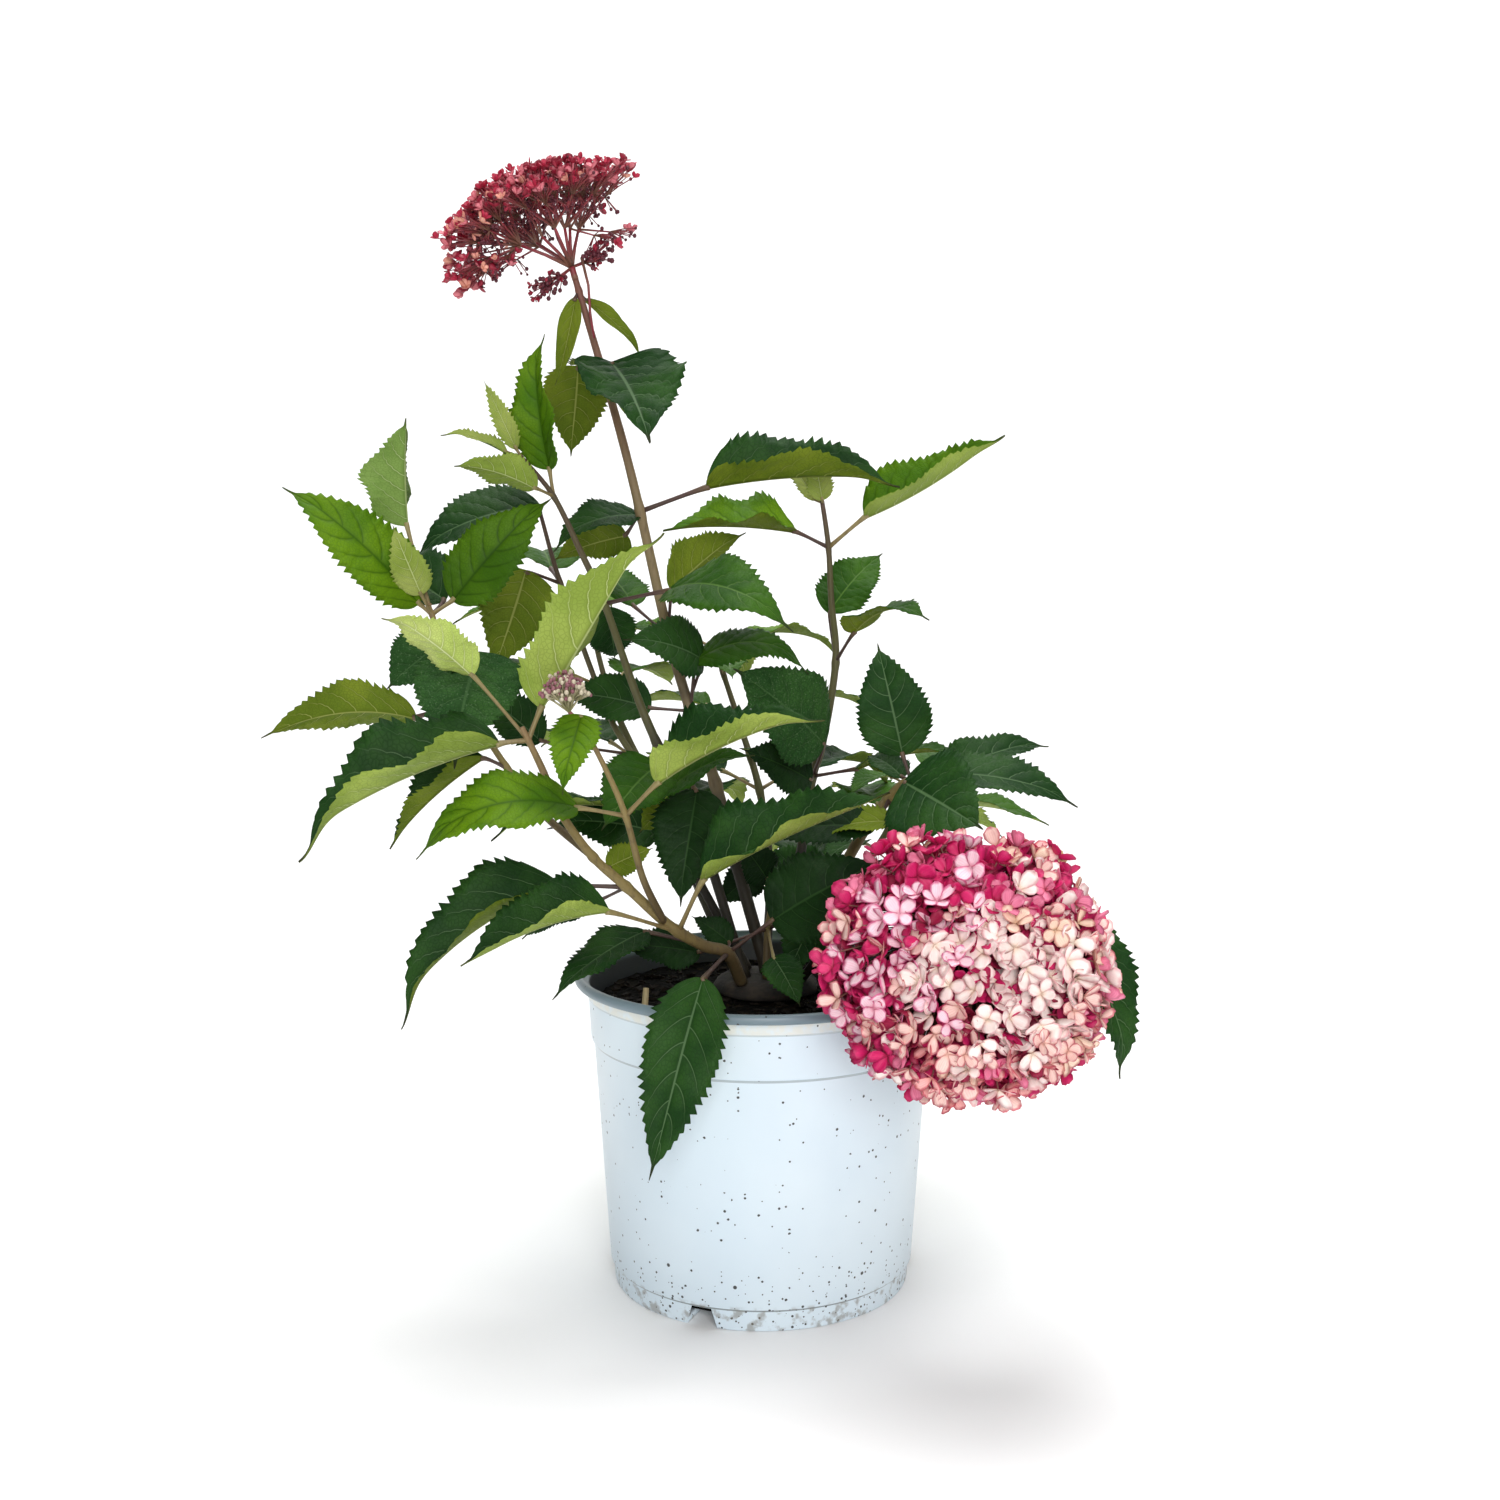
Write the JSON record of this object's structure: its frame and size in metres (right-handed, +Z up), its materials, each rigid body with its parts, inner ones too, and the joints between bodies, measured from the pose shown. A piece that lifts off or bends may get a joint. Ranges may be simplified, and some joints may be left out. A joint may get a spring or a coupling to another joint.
{
  "type": "potted smooth hydrangea",
  "caption": "Leafy smooth hydrangea shrub in a pale nursery pot, with a large pink mophead bloom over the rim and a flat crimson flower cluster on the tallest cane.",
  "frame": {"origin": "centre of the pot's flat underside", "axes": "+Z up along the pot's axis, the side shown in the picture faces -Y, +X to that side's right"},
  "size_m": [0.4922, 0.4324, 0.6679],
  "materials": {
    "pot_plastic": "satin",
    "bark_mix": "rough, damp bark and peat",
    "old_wood": "rough",
    "cane_bark": "smooth bark",
    "leaf_green": "matte leaf",
    "mophead_petals": "matte petals",
    "corymb_petals": "matte petals",
    "corymb_small_petals": "matte buds"
  },
  "bodies": {
    "root": {"pot": "pot_plastic", "potting_mix": "bark_mix", "root_crown": "old_wood", "cane_tall": "cane_bark", "cane_mid": "cane_bark", "cane_inner": "cane_bark", "cane_left": "cane_bark", "cane_left_side": "cane_bark", "cane_front": "cane_bark", "cane_right": "cane_bark", "cane_bloom": "cane_bark", "cane_low_right": "cane_bark", "cane_rear_left": "cane_bark", "cane_rear": "cane_bark", "cane_rear_right": "cane_bark", "leaves_tall_low": "leaf_green", "leaves_tall_high": "leaf_green", "leaves_mid": "leaf_green", "leaves_inner": "leaf_green", "leaves_left_low": "leaf_green", "leaves_left_front": "leaf_green", "leaves_left_outer": "leaf_green", "leaves_front": "leaf_green", "leaves_right_low": "leaf_green", "leaves_right_high": "leaf_green", "leaves_bloom": "leaf_green", "leaves_low_right": "leaf_green", "leaves_low_front": "leaf_green", "leaves_rear_left": "leaf_green", "leaves_rear": "leaf_green", "leaves_rear_right": "leaf_green", "bloom_mophead": "mophead_petals", "corymb_top": "corymb_petals", "corymb_small": "corymb_small_petals"}
  },
  "joints": []
}
